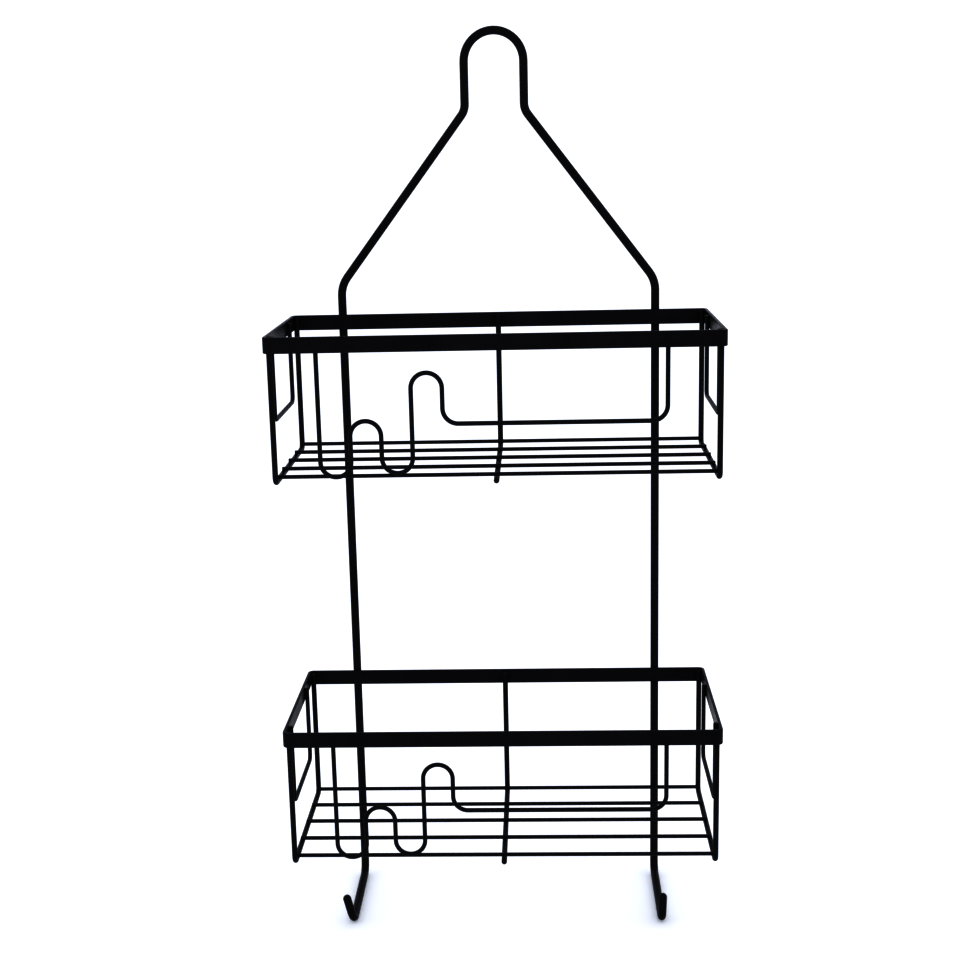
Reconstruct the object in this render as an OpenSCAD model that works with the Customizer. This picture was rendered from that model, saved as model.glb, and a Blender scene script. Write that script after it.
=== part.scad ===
// Hanging shower caddy: two wire baskets with flat rims on one bent frame wire.
// Millimetres. +Z is up, +Y points at the wall, X runs along the baskets.
// The origin is the inside of the hanging loop's crown, on the frame wire's centre plane.

/* [Frame wire] */
// diameter of the frame wire
frame_wire_d = 5.5; // [4:0.25:8]
// clear width inside the hanging loop
loop_opening = 33.5; // [24:0.5:50]
// straight part of each neck leg, from the loop's arc down to the neck corner
neck_length = 31; // [18:1:60]
// slope of the shoulders, in degrees away from straight down
shoulder_slope = 37.25; // [25:0.01:50]
// centreline bend radius at the neck corners
neck_bend = 12; // [8:1:25]
// centreline bend radius at the shoulder corners
shoulder_bend = 20; // [8:1:40]
// distance in from each basket end to the upright's centreline
upright_inset = 34.5; // [15:0.5:60]
// drop from the shoulder corners to the upper rim's top edge
rim_below_shoulder = 19.25; // [12:0.25:60]

/* [Hooks] */
// drop from the lower rim's top edge to the hook arms' centreline
hook_drop = 155.5; // [110:0.5:220]
// reach of each arm from the frame's centre plane to its upturned tip's centreline
hook_reach = 75; // [40:1:110]
// rise from the arm's centreline to the top of the upturned tip
hook_rise = 19.25; // [12:0.25:30]
// centreline bend radius where an upright turns into its arm
heel_bend = 8; // [6:0.5:16]
// centreline bend radius of the upturned tip
tip_bend = 6; // [5:0.5:10]
// outward lean of the left tip, in degrees
left_tip_lean = 14.1; // [0:0.01:25]
// outward lean of the right tip, in degrees
right_tip_lean = 2.05; // [0:0.01:25]

/* [Baskets] */
// outside width of each basket, over the rim
basket_width = 280; // [200:1:360]
// outside depth of each basket, over the rim
basket_depth = 120; // [80:1:160]
// height of each basket, from the rim's top edge to its underside
basket_height = 92.5; // [76:0.5:130]
// drop from the upper rim's top edge to the lower rim's top edge
basket_pitch = 253; // [190:1:330]

/* [Rim strip] */
// height of the flat strip
strip_height = 10; // [6:0.5:16]
// thickness of the flat strip
strip_thickness = 2; // [1.5:0.1:3]
// outside radius of the strip's corners
strip_corner = 4; // [3.5:0.5:15]

/* [Basket wires] */
// diameter of the end hoops and the centre wire
hoop_wire_d = 3.5; // [2.5:0.1:5]
// inside bend radius of the hoops and the centre wire
hoop_bend_inside = 2.25; // [2:0.25:6]
// diameter of the five floor wires
floor_wire_d = 2.5; // [2:0.1:3.5]
// how far round the hoops' bends the first and last floor wires sit, in degrees
floor_wire_nestle = 50; // [0:5:60]
// how far each floor wire runs past the hoops' centrelines
floor_wire_overhang = 0.5; // [0.25:0.25:1.75]
// gap from the strip's top edge down to the top ends of the wires behind it
wire_top_gap = 1.25; // [0.5:0.25:3]

/* [Guards] */
// diameter of the side guards and the front wave
guard_wire_d = 2.8; // [2:0.1:4]
// distance from the rim's front face to a side guard's front leg
guard_front_inset = 16; // [10:0.5:40]
// distance from the rim's back face to a side guard's back leg
guard_back_inset = 33; // [10:0.5:50]
// drop from the rim's top edge to a side guard's lower run
guard_drop = 53.5; // [30:0.5:70]
// centreline bend radius of the side guards
guard_bend = 4.5; // [3:0.5:10]

/* [Front wave] */
// distance from the left basket end to the wave's first leg
wave_left_inset = 32; // [15:0.5:60]
// distance from the right basket end to the wave's last leg
wave_right_inset = 35.5; // [15:0.5:60]
// distance between neighbouring legs of the wave
wave_pitch = 19; // [14:0.5:26]
// drop from the rim's top edge to the first hump's centreline
first_hump_drop = 52.6; // [45:0.1:56]
// drop from the rim's top edge to the second hump's centreline
second_hump_drop = 23.4; // [14:0.1:35]
// drop from the rim's top edge to the wave's long run
wave_run_drop = 55; // [40:0.5:58]
// how much higher the second dip sits than the first
second_dip_rise = 2; // [0:0.25:6]

/* [Hidden] */
$fn = 64;
joint = 0.001;
floor_wires = 5;
coat = "#1c1c1f";

// frame wire heights and widths, from the origin at the loop's inner crown
loop_radius = (loop_opening + frame_wire_d) / 2;
loop_z = frame_wire_d / 2 - loop_radius;
neck_z = loop_z - neck_length;
upright_x = basket_width / 2 - upright_inset;
shoulder_run = (upright_x - loop_radius) / sin(shoulder_slope);
shoulder_z = neck_z - shoulder_run * cos(shoulder_slope);
upper_rim_z = shoulder_z - rim_below_shoulder;
lower_rim_z = upper_rim_z - basket_pitch;
arm_z = lower_rim_z - hook_drop;
tip_rise = hook_rise - frame_wire_d / 2;

// basket faces: the rim's back face rests on the frame wire
back_y = -frame_wire_d / 2;
front_y = back_y - basket_depth;
inner_x = basket_width / 2 - strip_thickness;
inner_front_y = front_y + strip_thickness;

// hoops clear the inside radius of the strip's corners
hoop_x = inner_x - hoop_wire_d / 2;
hoop_inset = max(strip_corner, strip_thickness + hoop_wire_d / 2);
hoop_bend = hoop_bend_inside + hoop_wire_d / 2;
run_z = hoop_wire_d / 2 - basket_height;

// floor wires lie on the hoops, the first and last one pushed into the bends
nestle_reach = hoop_bend_inside - floor_wire_d / 2;
nestle_y = hoop_inset + hoop_bend - nestle_reach * sin(floor_wire_nestle);
nestle_z = run_z + hoop_bend - nestle_reach * cos(floor_wire_nestle);
floor_z = run_z + (hoop_wire_d + floor_wire_d) / 2;
floor_pitch = (basket_depth - 2 * nestle_y) / (floor_wires - 1);
floor_reach = hoop_x + floor_wire_overhang;

// the wave hangs on the front strip and leans back until it meets the first floor wire
guard_x = inner_x - guard_wire_d / 2;
wave_y = inner_front_y + guard_wire_d / 2;
wave_foot_y = front_y + nestle_y - (guard_wire_d + floor_wire_d) / 2;
wave_fall = -nestle_z - wire_top_gap;
wave_lean = atan((wave_foot_y - wave_y) / wave_fall);
wave_length = norm([wave_foot_y - wave_y, wave_fall]);
wave_bend = wave_pitch / 2;

// direction of the path's leg i, as an angle
function heading(p, i) = atan2(p[i + 1].y - p[i].y, p[i + 1].x - p[i].x);

// turn at corner i, between -180 and 180 degrees, left turns positive; none at the ends
function turn(p, i) =
    let (t = i == 0 || i == len(p) - 1 ? 0 : heading(p, i) - heading(p, i - 1))
    t > 180 ? t - 360 : t < -180 ? t + 360 : t;

// length of straight that a bend takes from each side
function setback(angle, radius) = radius * tan(abs(angle) / 2);

// centreline bend radius at point i, with none at the ends
function radius_at(p, r, i) = i == 0 || i == len(p) - 1 ? 0 : r[i - 1];

// straight left on leg i between its two bends
function feed(p, r, i) =
    norm(p[i + 1] - p[i]) - setback(turn(p, i), radius_at(p, r, i))
    - setback(turn(p, i + 1), radius_at(p, r, i + 1));

// half turn of the wire wherever the path changes from left bends to right bends
function roll(p, i) = turn(p, i + 1) * (i == 0 ? 1 : turn(p, i)) < 0 ? 180 : 0;

// bending steps for corner points p: [straight, roll, bend angle, bend radius]
function bending_steps(p, r) = [
    for (i = [0 : len(p) - 2])
        [feed(p, r, i), roll(p, i), abs(turn(p, i + 1)), radius_at(p, r, i + 1)]
];

// round wire from its bending steps, starting along +X and bending towards +Y
module formed_wire(steps, d, domed = false, i = 0) {
    straight = steps[i][0];
    angle = steps[i][2];
    radius = steps[i][3];
    if (straight > joint) {
        rotate([0, 90, 0])
            cylinder(d = d, h = straight);
    }
    translate([straight, 0, 0])
        rotate([steps[i][1], 0, 0]) {
            if (angle > 0) {
                translate([0, radius, 0])
                    rotate([0, 0, -90])
                        rotate_extrude(angle = angle)
                            translate([radius, 0])
                                circle(d = d);
            }
            if (i < len(steps) - 1) {
                translate([0, radius, 0])
                    rotate([0, 0, angle])
                        translate([0, -radius, 0])
                            formed_wire(steps, d, domed, i + 1);
            }
            if (domed && i == len(steps) - 1) {
                sphere(d = d);
            }
        }
}

// flat wire form through corner points p in the XZ plane
module bent_wire(p, r, d, domed = false) {
    rotate([90, 0, 0])
        translate([p[0].x, p[0].y, 0])
            rotate([0, 0, heading(p, 0)])
                formed_wire(bending_steps(p, r), d, domed);
}

// the same in the YZ plane, with the path's first number running forward
module bent_wire_forward(p, r, d, domed = false) {
    rotate([0, 0, -90])
        bent_wire(p, r, d, domed);
}

// right side of the frame wire, from the end of the loop's arc to the hook's tip
module frame_side(lean) {
    neck_take = setback(shoulder_slope, neck_bend);
    shoulder_take = setback(shoulder_slope, shoulder_bend);
    translate([loop_radius, 0, loop_z])
        rotate([-90, 90, 0])
            formed_wire(
                [
                    [neck_length - neck_take, 180, shoulder_slope, neck_bend],
                    [shoulder_run - neck_take - shoulder_take, 180, shoulder_slope, shoulder_bend],
                    [shoulder_z - arm_z - shoulder_take - heel_bend, -90, 90, heel_bend],
                    [hook_reach - heel_bend - tip_bend, -lean, 90, tip_bend],
                    [tip_rise - tip_bend, 0, 0, 0]
                ],
                frame_wire_d, true);
}

module frame_wire() color(coat) union() {
    translate([0, 0, loop_z])
        rotate([90, 0, 0])
            rotate_extrude(angle = 180)
                translate([loop_radius, 0])
                    circle(d = frame_wire_d);
    frame_side(right_tip_lean);
    mirror([1, 0, 0])
        frame_side(left_tip_lean);
}

// flat strip bent into a rectangle, its top edge at Z = 0
module rim() {
    corner_x = basket_width / 2 - strip_corner;
    corner_y = basket_depth / 2 - strip_corner;
    translate([0, (back_y + front_y) / 2, -strip_height]) {
        for (s = [-1, 1]) {
            translate([-corner_x, s * (basket_depth - strip_thickness) / 2 - strip_thickness / 2, 0])
                cube([2 * corner_x, strip_thickness, strip_height]);
            translate([s * (basket_width - strip_thickness) / 2 - strip_thickness / 2, -corner_y, 0])
                cube([strip_thickness, 2 * corner_y, strip_height]);
        }
        for (q = [0 : 3]) {
            sx = q == 0 || q == 3 ? 1 : -1;
            sy = q < 2 ? 1 : -1;
            translate([sx * corner_x, sy * corner_y, 0])
                rotate([0, 0, 90 * q])
                    rotate_extrude(angle = 90)
                        translate([strip_corner - strip_thickness, 0])
                            square([strip_thickness, strip_height]);
        }
    }
}

// U-shaped hoop at one basket end
module end_hoop(side) {
    translate([side * hoop_x, back_y, 0])
        bent_wire_forward(
            [
                [hoop_inset, -wire_top_gap],
                [hoop_inset, run_z],
                [basket_depth - hoop_inset, run_z],
                [basket_depth - hoop_inset, -wire_top_gap]
            ],
            [hoop_bend, hoop_bend],
            hoop_wire_d);
}

// L-shaped wire under the middle, with a rounded free end at the front
module centre_wire() {
    inset = strip_thickness + hoop_wire_d / 2;
    translate([0, back_y, 0])
        bent_wire_forward(
            [[inset, -wire_top_gap], [inset, run_z], [basket_depth - inset, run_z]],
            [hoop_bend], hoop_wire_d, true);
}

// floor wire i, counted from the front
module floor_wire(i) {
    outer = i == 1 || i == floor_wires;
    translate([-floor_reach, front_y + nestle_y + (i - 1) * floor_pitch, outer ? nestle_z : floor_z])
        rotate([0, 90, 0])
            cylinder(d = floor_wire_d, h = 2 * floor_reach);
}

// U-shaped guard inside one basket end
module side_guard(side) {
    translate([side * guard_x, back_y, 0])
        bent_wire_forward(
            [
                [guard_back_inset, -wire_top_gap],
                [guard_back_inset, -guard_drop],
                [basket_depth - guard_front_inset, -guard_drop],
                [basket_depth - guard_front_inset, -wire_top_gap]
            ],
            [guard_bend, guard_bend],
            guard_wire_d);
}

// wire with two dips and two humps behind the front strip, then a long run
module front_wave() {
    left = wave_left_inset - basket_width / 2;
    right = basket_width / 2 - wave_right_inset;
    top = 0;
    first_dip = -wave_length;
    second_dip = second_dip_rise - wave_length;
    first_hump = wire_top_gap - first_hump_drop;
    second_hump = wire_top_gap - second_hump_drop;
    long_run = wire_top_gap - wave_run_drop;
    corners = [
        [left, top],
        [left, first_dip],
        [left + wave_pitch, first_dip],
        [left + wave_pitch, first_hump],
        [left + 2 * wave_pitch, first_hump],
        [left + 2 * wave_pitch, second_dip],
        [left + 3 * wave_pitch, second_dip],
        [left + 3 * wave_pitch, second_hump],
        [left + 4 * wave_pitch, second_hump],
        [left + 4 * wave_pitch, long_run],
        [right, long_run],
        [right, top]
    ];
    bends = [for (i = [2 : len(corners) - 1]) wave_bend];
    translate([0, wave_y, -wire_top_gap])
        rotate([wave_lean, 0, 0])
            bent_wire(corners, bends, guard_wire_d);
}

// puts a basket piece on the upper or the lower basket
module upper() {
    translate([0, 0, upper_rim_z])
        color(coat)
            children();
}

module lower() {
    translate([0, 0, lower_rim_z])
        color(coat)
            children();
}

module upper_rim() upper() rim();
module upper_left_hoop() upper() end_hoop(-1);
module upper_right_hoop() upper() end_hoop(1);
module upper_centre_wire() upper() centre_wire();
module upper_floor_wire_1() upper() floor_wire(1);
module upper_floor_wire_2() upper() floor_wire(2);
module upper_floor_wire_3() upper() floor_wire(3);
module upper_floor_wire_4() upper() floor_wire(4);
module upper_floor_wire_5() upper() floor_wire(5);
module upper_left_guard() upper() side_guard(-1);
module upper_right_guard() upper() side_guard(1);
module upper_front_wave() upper() front_wave();

module lower_rim() lower() rim();
module lower_left_hoop() lower() end_hoop(-1);
module lower_right_hoop() lower() end_hoop(1);
module lower_centre_wire() lower() centre_wire();
module lower_floor_wire_1() lower() floor_wire(1);
module lower_floor_wire_2() lower() floor_wire(2);
module lower_floor_wire_3() lower() floor_wire(3);
module lower_floor_wire_4() lower() floor_wire(4);
module lower_floor_wire_5() lower() floor_wire(5);
module lower_left_guard() lower() side_guard(-1);
module lower_right_guard() lower() side_guard(1);
module lower_front_wave() lower() front_wave();

frame_wire();
upper_rim();
upper_left_hoop();
upper_right_hoop();
upper_centre_wire();
upper_floor_wire_1();
upper_floor_wire_2();
upper_floor_wire_3();
upper_floor_wire_4();
upper_floor_wire_5();
upper_left_guard();
upper_right_guard();
upper_front_wave();
lower_rim();
lower_left_hoop();
lower_right_hoop();
lower_centre_wire();
lower_floor_wire_1();
lower_floor_wire_2();
lower_floor_wire_3();
lower_floor_wire_4();
lower_floor_wire_5();
lower_left_guard();
lower_right_guard();
lower_front_wave();
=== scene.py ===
import math

import bmesh
import bpy
from mathutils import Matrix, Vector


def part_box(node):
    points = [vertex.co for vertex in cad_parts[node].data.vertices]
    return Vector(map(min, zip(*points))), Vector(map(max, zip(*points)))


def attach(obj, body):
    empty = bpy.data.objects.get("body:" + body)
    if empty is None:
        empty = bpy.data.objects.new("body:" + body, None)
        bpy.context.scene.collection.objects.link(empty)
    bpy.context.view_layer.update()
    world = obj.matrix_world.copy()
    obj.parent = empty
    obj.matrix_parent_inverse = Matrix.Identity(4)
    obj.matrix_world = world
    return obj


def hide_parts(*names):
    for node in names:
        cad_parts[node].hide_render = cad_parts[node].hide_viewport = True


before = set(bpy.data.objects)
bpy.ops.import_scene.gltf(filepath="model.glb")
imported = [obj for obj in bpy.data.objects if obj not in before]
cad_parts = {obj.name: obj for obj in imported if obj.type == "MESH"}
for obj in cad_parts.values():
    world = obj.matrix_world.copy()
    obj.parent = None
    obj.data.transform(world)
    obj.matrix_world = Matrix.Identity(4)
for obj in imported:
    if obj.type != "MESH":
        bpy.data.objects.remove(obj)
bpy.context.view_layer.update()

MM = 0.001

# ---------------------------------------------------------------- sizes, in millimetres
# The same values as the part's source. A wire's size is its diameter and a bend is its centreline
# radius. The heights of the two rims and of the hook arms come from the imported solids.

FRAME_WIRE = 5.5
HOOP_WIRE = 3.5
FLOOR_WIRE = 2.5
GUARD_WIRE = 2.8

UPPER_RIM_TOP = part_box("upper_rim")[1].z / MM
LOWER_RIM_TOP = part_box("lower_rim")[1].z / MM
ARM_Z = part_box("frame_wire")[0].z / MM + FRAME_WIRE / 2

# rims: flat strip, its back face against the frame wire
BASKET_WIDTH = 280
BASKET_DEPTH = 120
BASKET_HEIGHT = 92.5
STRIP_HEIGHT = 10
STRIP_THICKNESS = 2
STRIP_CORNER = 4
BACK_Y = -FRAME_WIRE / 2
FRONT_Y = BACK_Y - BASKET_DEPTH
INNER_X = BASKET_WIDTH / 2 - STRIP_THICKNESS

# frame wire: loop, neck, shoulders, uprights and hooks
LOOP_OPENING = 33.5
LOOP_RADIUS = (LOOP_OPENING + FRAME_WIRE) / 2
LOOP_Z = FRAME_WIRE / 2 - LOOP_RADIUS
NECK_LENGTH = 31
NECK_Z = LOOP_Z - NECK_LENGTH
NECK_BEND = 12
RIM_BELOW_SHOULDER = 19.25
SHOULDER_Z = UPPER_RIM_TOP + RIM_BELOW_SHOULDER
SHOULDER_BEND = 20
UPRIGHT_INSET = 34.5
UPRIGHT_X = BASKET_WIDTH / 2 - UPRIGHT_INSET
HOOK_REACH = 75
HOOK_RISE = 19.25
HEEL_BEND = 8
TIP_BEND = 6
LEFT_LEAN = 14.1
RIGHT_LEAN = 2.05

# basket wires: heights from here on are measured from the rim's top edge
WIRE_TOP = -1.25
HOOP_X = INNER_X - HOOP_WIRE / 2
HOOP_INSET = STRIP_CORNER
HOOP_BEND_INSIDE = 2.25
HOOP_BEND = HOOP_BEND_INSIDE + HOOP_WIRE / 2
RUN_Z = HOOP_WIRE / 2 - BASKET_HEIGHT

# floor wires lie on the hoops, the first and the last one pushed into the hoops' bends
FLOOR_WIRES = 5
FLOOR_OVERHANG = 0.5
NESTLE_TURN = math.radians(50)
NESTLE_REACH = HOOP_BEND_INSIDE - FLOOR_WIRE / 2
NESTLE_INSET = HOOP_INSET + HOOP_BEND - NESTLE_REACH * math.sin(NESTLE_TURN)
NESTLE_Z = RUN_Z + HOOP_BEND - NESTLE_REACH * math.cos(NESTLE_TURN)
FLOOR_Z = RUN_Z + (HOOP_WIRE + FLOOR_WIRE) / 2
FLOOR_PITCH = (BASKET_DEPTH - 2 * NESTLE_INSET) / (FLOOR_WIRES - 1)
FLOOR_REACH = HOOP_X + FLOOR_OVERHANG

# side guards
GUARD_X = INNER_X - GUARD_WIRE / 2
GUARD_BACK_INSET = 33
GUARD_FRONT_INSET = 16
GUARD_Z = -53.5
GUARD_BEND = 4.5

# front wave: hangs on the front strip and leans back until it meets the first floor wire
WAVE_LEFT_INSET = 32
WAVE_RIGHT_INSET = 35.5
WAVE_LEFT = WAVE_LEFT_INSET - BASKET_WIDTH / 2
WAVE_RIGHT = BASKET_WIDTH / 2 - WAVE_RIGHT_INSET
WAVE_PITCH = 19
WAVE_Y = FRONT_Y + STRIP_THICKNESS + GUARD_WIRE / 2
WAVE_FOOT_Y = FRONT_Y + NESTLE_INSET - (GUARD_WIRE + FLOOR_WIRE) / 2
WAVE_LEAN = (WAVE_FOOT_Y - WAVE_Y) / (WIRE_TOP - NESTLE_Z)
SECOND_DIP_RISE = 2
FIRST_HUMP_Z = -52.6
SECOND_HUMP_Z = -23.4
LONG_RUN_Z = -55

# ---------------------------------------------------------------- finishes


def linear(code):
    """sRGB hex to linear RGBA."""
    channels = [int(code[i : i + 2], 16) / 255 for i in (1, 3, 5)]
    return (
        *(c / 12.92 if c <= 0.04045 else ((c + 0.055) / 1.055) ** 2.4 for c in channels),
        1.0,
    )


def per_metre(millimetres):
    """Pattern scale for a feature of that size."""
    return 1 / (millimetres * MM)


def add_node(material, kind, settings=None, **links):
    """Adds one node: settings are its properties and socket values, links are its inputs."""
    node = material.node_tree.nodes.new(kind)
    for key, value in (settings or {}).items():
        if hasattr(node, key):
            setattr(node, key, value)
        else:
            node.inputs[key.replace("_", " ")].default_value = value
    for key, source in links.items():
        material.node_tree.links.new(source, node.inputs[key.replace("_", " ")])
    return node


def new_material(name):
    """Material with an empty node tree."""
    material = bpy.data.materials.new(name)
    material.use_nodes = True
    material.node_tree.nodes.clear()
    return material


def powder_coat(name, base, worn, roughness, peel_mm, peel_depth_mm, grit_depth_mm):
    """Baked polyester powder on steel: a deep black film with a soft orange-peel skin, a fine grit,
    and patches where handling has polished it or left it a little greyer."""
    # Patches are about two fingers wide. Real grit is near 0.1 mm across and is drawn five times
    # as coarse, because it would not show otherwise.
    patch_mm = 38
    grit_mm = 0.5
    material = new_material(name)
    where = add_node(material, "ShaderNodeTexCoord").outputs["Object"]
    patches = add_node(
        material,
        "ShaderNodeTexNoise",
        {"Scale": per_metre(patch_mm), "Detail": 4.0, "Roughness": 0.6},
        Vector=where,
    )
    grit = add_node(
        material,
        "ShaderNodeTexNoise",
        {"Scale": per_metre(grit_mm), "Detail": 3.0, "Roughness": 0.7},
        Vector=where,
    )
    peel = add_node(
        material,
        "ShaderNodeTexNoise",
        {"Scale": per_metre(peel_mm), "Detail": 1.0, "Roughness": 0.4},
        Vector=where,
    )
    tint = add_node(material, "ShaderNodeValToRGB", Fac=patches.outputs["Fac"])
    tint.color_ramp.elements[0].position = 0.35
    tint.color_ramp.elements[0].color = linear(base)
    tint.color_ramp.elements[1].position = 0.8
    tint.color_ramp.elements[1].color = linear(worn)
    gloss = add_node(
        material,
        "ShaderNodeMapRange",
        {"From_Min": 0.3, "From_Max": 0.75, "To_Min": roughness - 0.05, "To_Max": roughness + 0.08},
        Value=patches.outputs["Fac"],
    )
    skin = add_node(
        material,
        "ShaderNodeBump",
        {"Strength": 1.0, "Distance": peel_depth_mm * MM},
        Height=peel.outputs["Fac"],
    )
    surface = add_node(
        material,
        "ShaderNodeBump",
        {"Strength": 1.0, "Distance": grit_depth_mm * MM},
        Height=grit.outputs["Fac"],
        Normal=skin.outputs["Normal"],
    )
    # In an all-white tent a full reflection would grey the black, so the specular level is low.
    shader = add_node(
        material,
        "ShaderNodeBsdfPrincipled",
        {"IOR": 1.5, "Specular_IOR_Level": 0.04},
        Base_Color=tint.outputs["Color"],
        Roughness=gloss.outputs["Result"],
        Normal=surface.outputs["Normal"],
    )
    add_node(material, "ShaderNodeOutputMaterial", Surface=shader.outputs["BSDF"])
    return material


# Satin black powder on drawn wire: even, smooth and deep black, its highlight all but lost in the
# white tent.
wire_coat = powder_coat(
    "satin_black_powder_on_wire",
    base="#1c1c1f",
    worn="#242428",
    roughness=0.36,
    peel_mm=1.6,
    peel_depth_mm=0.02,
    grit_depth_mm=0.004,
)
# The same powder on flat strip: it flows out flatter, so its orange peel is broader and deeper.
strip_coat = powder_coat(
    "satin_black_powder_on_strip",
    base="#1c1c1f",
    worn="#242429",
    roughness=0.30,
    peel_mm=2.4,
    peel_depth_mm=0.03,
    grit_depth_mm=0.004,
)
# Powder over weld beads: it gathers in the corners and stays duller and lumpier.
weld_coat = powder_coat(
    "satin_black_powder_on_welds",
    base="#19191c",
    worn="#212125",
    roughness=0.48,
    peel_mm=0.9,
    peel_depth_mm=0.08,
    grit_depth_mm=0.01,
)

# ---------------------------------------------------------------- making pieces

SHORTEST_RUN = MM / 1000  # a straight run shorter than this is left out
SAME_POINT = MM / 500  # points nearer to each other than this are merged
BEND_STEP = 7.5  # degrees of bend between two rings of a swept wire

# how a wire's end is finished: its rounding, as a share of the wire's radius
SHEARED = 0.12
DOMED = 1
END_POINT = 0.02  # radius of the last ring, as a share of the wire's radius


def ring_verts(ring):
    """Each vertex of an edge ring, once."""
    return list(dict.fromkeys(v for e in ring for v in e.verts))


def extruded(bm, ring, move):
    """Extrudes an edge ring by a vector and returns the new ring."""
    made = bmesh.ops.extrude_edge_only(bm, edges=ring)["geom"]
    bmesh.ops.translate(bm, vec=move, verts=[g for g in made if isinstance(g, bmesh.types.BMVert)])
    return [g for g in made if isinstance(g, bmesh.types.BMEdge)]


def swept(bm, ring, points, bends):
    """Carries a ring along straight runs and bends, all in metres. Returns the last ring."""
    headings = [(b - a).normalized() for a, b in zip(points, points[1:])]
    turns = [a.angle(b) for a, b in zip(headings, headings[1:])]
    takes = [0, *(r * math.tan(t / 2) for r, t in zip(bends, turns)), 0]
    here = points[0]
    for i, heading in enumerate(headings):
        run = (points[i + 1] - points[i]).length - takes[i] - takes[i + 1]
        if run > SHORTEST_RUN:
            ring = extruded(bm, ring, heading * run)
            here = here + heading * run
        if i < len(turns):
            axis = heading.cross(headings[i + 1]).normalized()
            centre = here + axis.cross(heading) * bends[i]
            made = bmesh.ops.spin(
                bm,
                geom=[*ring_verts(ring), *ring],
                cent=centre,
                axis=axis,
                dvec=(0, 0, 0),
                angle=turns[i],
                steps=max(3, round(math.degrees(turns[i]) / BEND_STEP)),
                use_merge=False,
                use_duplicate=False,
            )["geom_last"]
            ring = [g for g in made if isinstance(g, bmesh.types.BMEdge)]
            here = centre + Matrix.Rotation(turns[i], 3, axis) @ (here - centre)
    return ring


def closed_end(bm, ring, centre, outward, radius, rounding):
    """Rounds a wire's end over: a full dome, or the small burr of a sheared end."""
    stages = 6 if rounding == DOMED else 2
    reach = 0
    size = radius
    for k in range(1, stages + 1):
        turn = math.pi / 2 * k / stages
        new_reach = rounding * radius * math.sin(turn)
        new_size = max(radius - rounding * radius * (1 - math.cos(turn)), radius * END_POINT)
        ring = extruded(bm, ring, outward * (new_reach - reach))
        bmesh.ops.scale(
            bm,
            vec=Vector((1, 1, 1)) * (new_size / size),
            space=Matrix.Translation(-(centre + outward * new_reach)),
            verts=ring_verts(ring),
        )
        reach = new_reach
        size = new_size
    bmesh.ops.contextual_create(bm, geom=ring)


def finished(bm, name, material, *stands_for):
    """Turns a bmesh into a piece in the row frame that rides on the caddy."""
    bmesh.ops.remove_doubles(bm, verts=bm.verts, dist=SAME_POINT)
    bmesh.ops.recalc_face_normals(bm, faces=bm.faces)
    for face in bm.faces:
        face.smooth = True
    mesh = bpy.data.meshes.new(name)
    bm.to_mesh(mesh)
    bm.free()
    mesh.materials.append(material)
    piece = bpy.data.objects.new(name, mesh)
    bpy.context.scene.collection.objects.link(piece)
    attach(piece, "root")
    if stands_for:
        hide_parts(*stands_for)
    return piece


def wire(name, corners, bends, diameter, ends, *stands_for, sides=20):
    """Round wire through corner points in millimetres, with a bend at each inner one."""
    radius = diameter * MM / 2
    points = [Vector(c) * MM for c in corners]
    first = (points[1] - points[0]).normalized()
    last = (points[-1] - points[-2]).normalized()
    if ends[0] != DOMED:
        points[0] += first * radius * ends[0]
    if ends[1] != DOMED:
        points[-1] -= last * radius * ends[1]
    bm = bmesh.new()
    bmesh.ops.create_circle(
        bm,
        segments=sides,
        radius=radius,
        matrix=Matrix.Translation(points[0]) @ first.to_track_quat("Z", "Y").to_matrix().to_4x4(),
    )
    start = list(bm.edges)
    end = swept(bm, start, points, [b * MM for b in bends])
    closed_end(bm, end, points[-1], last, radius, ends[1])
    closed_end(bm, start, points[0], -first, radius, ends[0])
    return finished(bm, name, wire_coat, *stands_for)


def frame_wire():
    """One long wire: tip, arm, upright, shoulder, neck, loop, and down the other side."""

    def foot(side, lean):
        turn = math.radians(lean)
        rise = HOOK_RISE - FRAME_WIRE / 2
        x = side * UPRIGHT_X
        tip = (x + side * rise * math.sin(turn), -HOOK_REACH, ARM_Z + rise * math.cos(turn))
        return [tip, (x, -HOOK_REACH, ARM_Z), (x, 0, ARM_Z)]

    crown = LOOP_Z + LOOP_RADIUS
    left = [*foot(-1, LEFT_LEAN), (-UPRIGHT_X, 0, SHOULDER_Z), (-LOOP_RADIUS, 0, NECK_Z)]
    right = [*foot(1, RIGHT_LEAN), (UPRIGHT_X, 0, SHOULDER_Z), (LOOP_RADIUS, 0, NECK_Z)]
    top = [(-LOOP_RADIUS, 0, crown), (LOOP_RADIUS, 0, crown)]
    side_bends = [TIP_BEND, HEEL_BEND, SHOULDER_BEND, NECK_BEND]
    wire(
        "frame_wire_form",
        [*left, *top, *reversed(right)],
        [*side_bends, LOOP_RADIUS, LOOP_RADIUS, *reversed(side_bends)],
        FRAME_WIRE,
        (DOMED, DOMED),
        "frame_wire",
        sides=32,
    )


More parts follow.
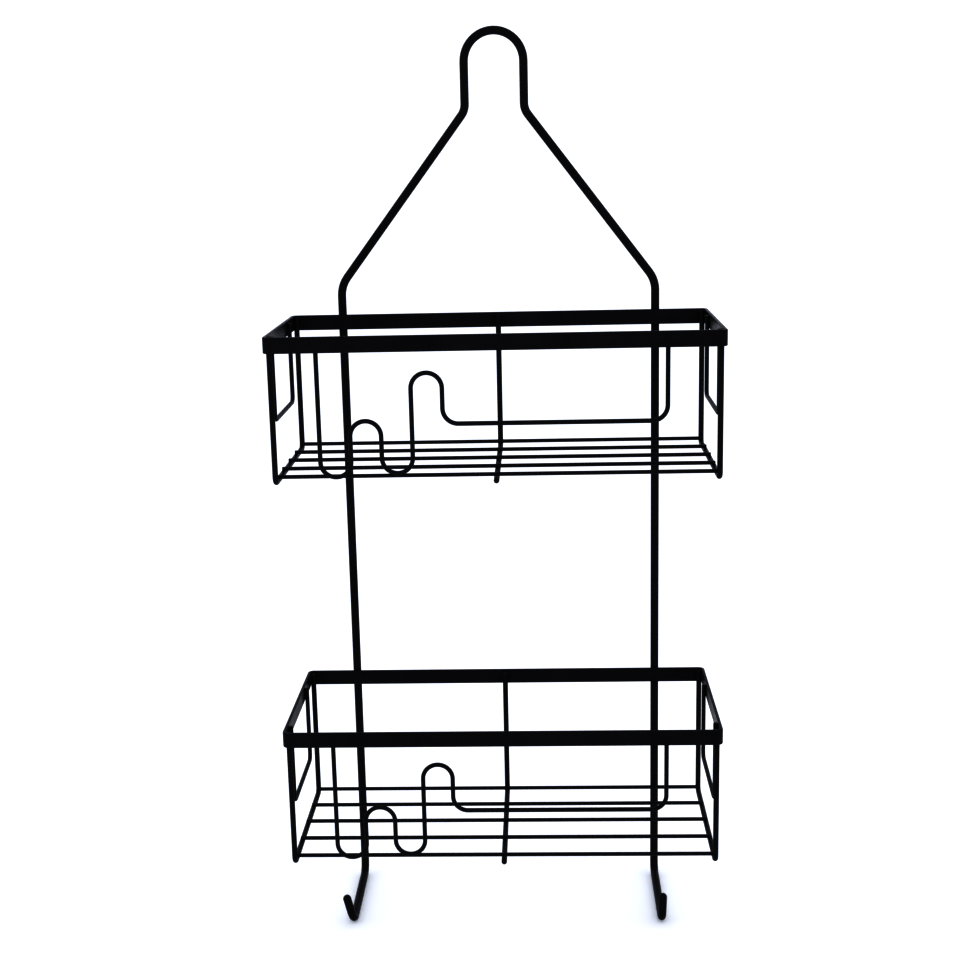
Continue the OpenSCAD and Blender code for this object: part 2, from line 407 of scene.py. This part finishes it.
def rim(tier, top):
    """Flat strip with softened edges, bent round four corners and butt-welded at the back."""
    half_t = STRIP_THICKNESS / 2
    x = BASKET_WIDTH / 2 - half_t
    back = BACK_Y - half_t
    front = FRONT_Y + half_t
    z = top - STRIP_HEIGHT / 2
    edge_radius = 0.6
    # the strip's ends meet in a slightly raised weld on the back, right of the middle
    seam = 62
    seam_reach = 1.2
    seam_swell = (1, 1.12, 1.01)
    bm = bmesh.new()
    section = bmesh.ops.create_grid(bm, x_segments=1, y_segments=1, size=0.5)["verts"]
    bmesh.ops.scale(bm, vec=(STRIP_HEIGHT * MM, STRIP_THICKNESS * MM, 1), verts=section)
    bmesh.ops.bevel(
        bm,
        geom=section,
        offset=edge_radius * MM,
        offset_type="OFFSET",
        affect="VERTICES",
        segments=4,
        profile=0.5,
        material=-1,
    )
    bmesh.ops.delete(bm, geom=list(bm.faces), context="FACES_ONLY")
    bmesh.ops.rotate(bm, cent=(0, 0, 0), matrix=Matrix.Rotation(math.pi / 2, 3, "Y"), verts=bm.verts)
    bmesh.ops.translate(bm, vec=Vector((seam + seam_reach, back, z)) * MM, verts=bm.verts)
    start = list(bm.edges)
    corners = [
        (seam + seam_reach, back, z),
        (x, back, z),
        (x, front, z),
        (-x, front, z),
        (-x, back, z),
        (seam - seam_reach, back, z),
    ]
    ring = swept(
        bm, start, [Vector(c) * MM for c in corners], [(STRIP_CORNER - half_t) * MM] * 4
    )
    middle = extruded(bm, ring, Vector((seam_reach * MM, 0, 0)))
    bmesh.ops.scale(
        bm,
        vec=seam_swell,
        space=Matrix.Translation(-Vector((seam, back, z)) * MM),
        verts=ring_verts(middle),
    )
    bmesh.ops.bridge_loops(bm, edges=[*middle, *start])
    piece = finished(bm, tier + "_rim_strip", strip_coat, tier + "_rim")
    piece.modifiers.new("even_shading", "WEIGHTED_NORMAL").keep_sharp = True


def hoop(tier, top, side):
    """U-shaped wire at one basket end, its legs behind the strip's corners."""
    x = side * HOOP_X
    back = BACK_Y - HOOP_INSET
    front = FRONT_Y + HOOP_INSET
    name = "left" if side < 0 else "right"
    wire(
        f"{tier}_{name}_end_hoop",
        [
            (x, back, top + WIRE_TOP),
            (x, back, top + RUN_Z),
            (x, front, top + RUN_Z),
            (x, front, top + WIRE_TOP),
        ],
        [HOOP_BEND, HOOP_BEND],
        HOOP_WIRE,
        (SHEARED, SHEARED),
        f"{tier}_{name}_hoop",
    )


def centre_wire(tier, top):
    """L-shaped wire down the back and under the floor, with a free rounded front end."""
    inset = STRIP_THICKNESS + HOOP_WIRE / 2
    wire(
        tier + "_centre_support",
        [
            (0, BACK_Y - inset, top + WIRE_TOP),
            (0, BACK_Y - inset, top + RUN_Z),
            (0, FRONT_Y + inset, top + RUN_Z),
        ],
        [HOOP_BEND],
        HOOP_WIRE,
        (SHEARED, DOMED),
        tier + "_centre_wire",
    )


def floor_wire_place(i):
    """Where floor wire i lies front to back, and its height from the rim's top edge."""
    outer = i in (1, FLOOR_WIRES)
    return FRONT_Y + NESTLE_INSET + (i - 1) * FLOOR_PITCH, NESTLE_Z if outer else FLOOR_Z


def floor_wires(tier, top):
    """Straight wires across the hoops, numbered from the front."""
    for i in range(1, FLOOR_WIRES + 1):
        y, z = floor_wire_place(i)
        wire(
            f"{tier}_floor_rod_{i}",
            [(-FLOOR_REACH, y, top + z), (FLOOR_REACH, y, top + z)],
            [],
            FLOOR_WIRE,
            (SHEARED, SHEARED),
            f"{tier}_floor_wire_{i}",
            sides=16,
        )


def guard(tier, top, side):
    """Small U-shaped wire inside one basket end."""
    x = side * GUARD_X
    back = BACK_Y - GUARD_BACK_INSET
    front = FRONT_Y + GUARD_FRONT_INSET
    name = "left" if side < 0 else "right"
    wire(
        f"{tier}_{name}_side_guard",
        [
            (x, back, top + WIRE_TOP),
            (x, back, top + GUARD_Z),
            (x, front, top + GUARD_Z),
            (x, front, top + WIRE_TOP),
        ],
        [GUARD_BEND, GUARD_BEND],
        GUARD_WIRE,
        (SHEARED, SHEARED),
        f"{tier}_{name}_guard",
        sides=18,
    )


def on_wave(top, x, z):
    """Point of the leaning wave at that place across and that height."""
    return (x, WAVE_Y + (WIRE_TOP - z) * WAVE_LEAN, top + z)


def front_wave(tier, top):
    """Wire behind the front strip: a dip, a low hump, a dip, a high hump, then a long level run."""
    legs = [WAVE_LEFT + WAVE_PITCH * k for k in range(5)]
    second_dip = NESTLE_Z + SECOND_DIP_RISE
    route = [
        (legs[0], WIRE_TOP),
        (legs[0], NESTLE_Z),
        (legs[1], NESTLE_Z),
        (legs[1], FIRST_HUMP_Z),
        (legs[2], FIRST_HUMP_Z),
        (legs[2], second_dip),
        (legs[3], second_dip),
        (legs[3], SECOND_HUMP_Z),
        (legs[4], SECOND_HUMP_Z),
        (legs[4], LONG_RUN_Z),
        (WAVE_RIGHT, LONG_RUN_Z),
        (WAVE_RIGHT, WIRE_TOP),
    ]
    wire(
        tier + "_wave_guard",
        [on_wave(top, *p) for p in route],
        [WAVE_PITCH / 2] * (len(route) - 2),
        GUARD_WIRE,
        (SHEARED, SHEARED),
        tier + "_front_wave",
        sides=18,
    )


def bead(bm, place, size, turn):
    """Adds one weld bead, an uneven little pillow, half sunk between the two pieces it joins."""
    unevenness = 0.07
    made = bmesh.ops.create_icosphere(bm, subdivisions=2, radius=1)["verts"]
    for v in made:
        v.co *= 1 + unevenness * math.sin(3 * v.co.x + turn) * math.cos(4 * v.co.z - turn)
    bmesh.ops.scale(bm, vec=Vector(size) * MM, verts=made)
    bmesh.ops.translate(bm, vec=Vector(place) * MM, verts=made)


def weld_beads(tier, top):
    """Every weld of one basket: legs behind the strip, crossings on the floor, wave on the floor."""
    # half sizes of the beads across, front to back and up
    hoop_leg = (0.7, 1.7, 3.9)
    guard_leg = (0.6, 1.45, 3.7)
    upright = (2.3, 0.8, 3.6)
    hoop_crossing = (1.3, 1.3, 0.6)
    centre_leg = (1.8, 0.7, 3.9)
    centre_crossing = (1.6, 1.35, 0.6)
    wave_leg = (1.45, 0.6, 3.7)
    wave_foot = (2.2, 0.6, 1.0)
    # a hoop's crossing beads sit a little inside it, a wave's foot beads a little above the floor
    crossing_shift = 0.4
    foot_lift = 0.4
    # turns each bead's unevenness on from the last one's
    next_turn = 1.7
    bm = bmesh.new()
    count = 0

    def add(place, size):
        nonlocal count
        bead(bm, place, size, count * next_turn)
        count += 1

    middle = top + (WIRE_TOP - STRIP_HEIGHT) / 2
    inner_front = FRONT_Y + STRIP_THICKNESS
    inner_back = BACK_Y - STRIP_THICKNESS
    for side in (-1, 1):
        face = side * INNER_X
        for y in (BACK_Y - HOOP_INSET, FRONT_Y + HOOP_INSET):
            add((face, y, middle), hoop_leg)
        for y in (BACK_Y - GUARD_BACK_INSET, FRONT_Y + GUARD_FRONT_INSET):
            add((face, y, middle), guard_leg)
        add((side * UPRIGHT_X, BACK_Y, top - STRIP_HEIGHT / 2), upright)
        for i in range(1, FLOOR_WIRES + 1):
            y, z = floor_wire_place(i)
            add((side * (HOOP_X - crossing_shift), y, top + z - FLOOR_WIRE / 2), hoop_crossing)
    add((0, inner_back, middle), centre_leg)
    for i in range(2, FLOOR_WIRES + 1):
        y, z = floor_wire_place(i)
        add((0, y, top + z - FLOOR_WIRE / 2), centre_crossing)
    for x in (WAVE_LEFT, WAVE_RIGHT):
        add((x, inner_front, middle), wave_leg)
    first_dip = WAVE_LEFT + WAVE_PITCH / 2
    for x in (first_dip, first_dip + 2 * WAVE_PITCH):
        add((x, WAVE_FOOT_Y + GUARD_WIRE / 2, top + NESTLE_Z + foot_lift), wave_foot)
    finished(bm, tier + "_weld_beads", weld_coat)


frame_wire()
for tier, top in (("upper", UPPER_RIM_TOP), ("lower", LOWER_RIM_TOP)):
    rim(tier, top)
    hoop(tier, top, -1)
    hoop(tier, top, 1)
    centre_wire(tier, top)
    floor_wires(tier, top)
    guard(tier, top, -1)
    guard(tier, top, 1)
    front_wave(tier, top)
    weld_beads(tier, top)

# ---------------------------------------------------------------- studio, in metres


def seamless_paper():
    """Seamless paper: matt white, lit until it runs out to plain white."""
    fibre_mm = 3
    material = new_material("white_seamless_paper")
    where = add_node(material, "ShaderNodeTexCoord").outputs["Object"]
    fibre = add_node(
        material,
        "ShaderNodeTexNoise",
        {"Scale": per_metre(fibre_mm), "Detail": 3.0},
        Vector=where,
    )
    tint = add_node(material, "ShaderNodeValToRGB", Fac=fibre.outputs["Fac"])
    tint.color_ramp.elements[0].color = linear("#f4f5f6")
    tint.color_ramp.elements[1].color = linear("#f8f8f9")
    shader = add_node(
        material,
        "ShaderNodeBsdfPrincipled",
        {
            "Roughness": 0.95,
            "Specular_IOR_Level": 0.0,
            "Emission_Color": linear("#c8d8ff"),
            "Emission_Strength": 0.18,
        },
        Base_Color=tint.outputs["Color"],
    )
    add_node(material, "ShaderNodeOutputMaterial", Surface=shader.outputs["BSDF"])
    return material


def paper_sweep():
    """Floor under the hook arms that turns up into a back wall, well clear of the caddy."""
    floor_z = (ARM_Z - FRAME_WIRE / 2) * MM
    half_width = 6
    front = -6
    back = 3
    curve_radius = 1.5
    wall_height = 5
    bm = bmesh.new()
    left = bm.verts.new((-half_width, front, floor_z))
    right = bm.verts.new((half_width, front, floor_z))
    edge = bm.edges.new((left, right))
    floor_run = extruded(bm, [edge], Vector((0, back - front, 0)))
    made = bmesh.ops.spin(
        bm,
        geom=[*ring_verts(floor_run), *floor_run],
        cent=(0, back, floor_z + curve_radius),
        axis=(1, 0, 0),
        dvec=(0, 0, 0),
        angle=math.pi / 2,
        steps=24,
        use_merge=False,
        use_duplicate=False,
    )["geom_last"]
    curve_end = [g for g in made if isinstance(g, bmesh.types.BMEdge)]
    extruded(bm, curve_end, Vector((0, 0, wall_height)))
    for face in bm.faces:
        face.smooth = True
    mesh = bpy.data.meshes.new("paper_sweep")
    bm.to_mesh(mesh)
    bm.free()
    mesh.materials.append(seamless_paper())
    sweep = bpy.data.objects.new("paper_sweep", mesh)
    bpy.context.scene.collection.objects.link(sweep)


def softbox(name, place, aim, size, watts):
    """Rectangular lamp of that width and height, aimed at a point."""
    light = bpy.data.lights.new(name, "AREA")
    light.shape = "RECTANGLE"
    light.size, light.size_y = size
    light.energy = watts
    lamp = bpy.data.objects.new(name, light)
    lamp.location = place
    lamp.rotation_mode = "QUATERNION"
    lamp.rotation_quaternion = (Vector(aim) - Vector(place)).to_track_quat("-Z", "Y")
    bpy.context.scene.collection.objects.link(lamp)


def light_tent():
    """Even white all round, just bright enough for the paper to run out to white."""
    strength = 1.06
    world = bpy.data.worlds.new("white_light_tent")
    world.use_nodes = True
    background = world.node_tree.nodes["Background"]
    background.inputs["Color"].default_value = linear("#ffffff")
    background.inputs["Strength"].default_value = strength
    bpy.context.scene.world = world


paper_sweep()
softbox("overhead_softbox", place=(0, 0.2, 1.7), aim=(0, 0, -0.4), size=(3.2, 2.6), watts=3)
softbox("left_softbox", place=(-1.7, -0.9, 0.4), aim=(0, 0, -0.3), size=(0.7, 1.6), watts=4)
softbox("right_softbox", place=(1.7, -0.9, 0.4), aim=(0, 0, -0.3), size=(0.7, 1.6), watts=4)
light_tent()

# ---------------------------------------------------------------- camera


def camera():
    """In front of the caddy, slightly above it and a touch to its right, with a small roll."""
    azimuth = math.radians(2.336)
    elevation = math.radians(12.431)
    roll = math.radians(1.301)
    place = (0.0277, -1.04615, -0.0658)
    sensor_mm = 36
    focal_mm = 58.11
    forward = Vector(
        (
            -math.sin(azimuth) * math.cos(elevation),
            math.cos(azimuth) * math.cos(elevation),
            -math.sin(elevation),
        )
    )
    level = Vector((math.cos(azimuth), math.sin(azimuth), 0))
    upward = level.cross(forward)
    right = level * math.cos(roll) - upward * math.sin(roll)
    up = level * math.sin(roll) + upward * math.cos(roll)
    turn = Matrix((right, up, -forward)).transposed().to_4x4()
    lens = bpy.data.cameras.new("camera")
    lens.sensor_width = sensor_mm
    lens.lens = focal_mm
    lens.clip_start = 0.05
    lens.clip_end = 50
    eye = bpy.data.objects.new("camera", lens)
    eye.matrix_world = Matrix.Translation(place) @ turn
    bpy.context.scene.collection.objects.link(eye)
    bpy.context.scene.camera = eye


camera()

# A hard catalogue print: clean white, deep blacks, crisp edges.
PRINT_GAMMA = 0.55
bpy.context.scene.view_settings.view_transform = "Standard"
bpy.context.scene.view_settings.gamma = PRINT_GAMMA
